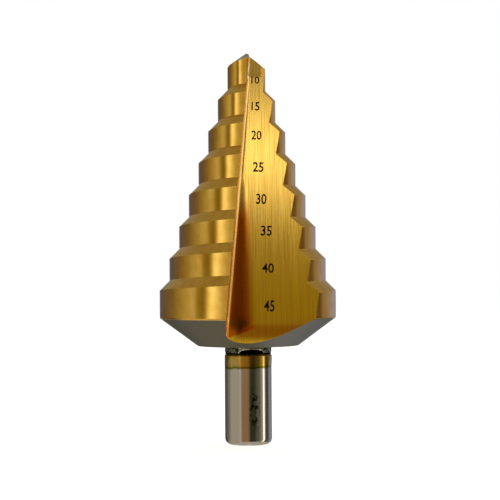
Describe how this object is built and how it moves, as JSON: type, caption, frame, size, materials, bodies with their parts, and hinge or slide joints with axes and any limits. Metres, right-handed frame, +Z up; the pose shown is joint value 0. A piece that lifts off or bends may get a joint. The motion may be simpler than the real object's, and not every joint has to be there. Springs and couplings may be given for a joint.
{
  "type": "step drill",
  "caption": "Gold coated step drill bit: stepped cone with straight flutes, split point and round shank with chuck flats.",
  "frame": {"origin": "centre of the flat end of the shank", "axes": "+Z up the drill's axis to the point; the front flute's floor faces -Y; +X is the way that the front cutting edge moves"},
  "size_m": [0.0446, 0.044, 0.0991],
  "materials": {
    "coated_steel": "titanium nitride coating over ground high speed steel; the shank is bare"
  },
  "bodies": {
    "root": {"step_drill": "coated_steel"}
  },
  "joints": []
}
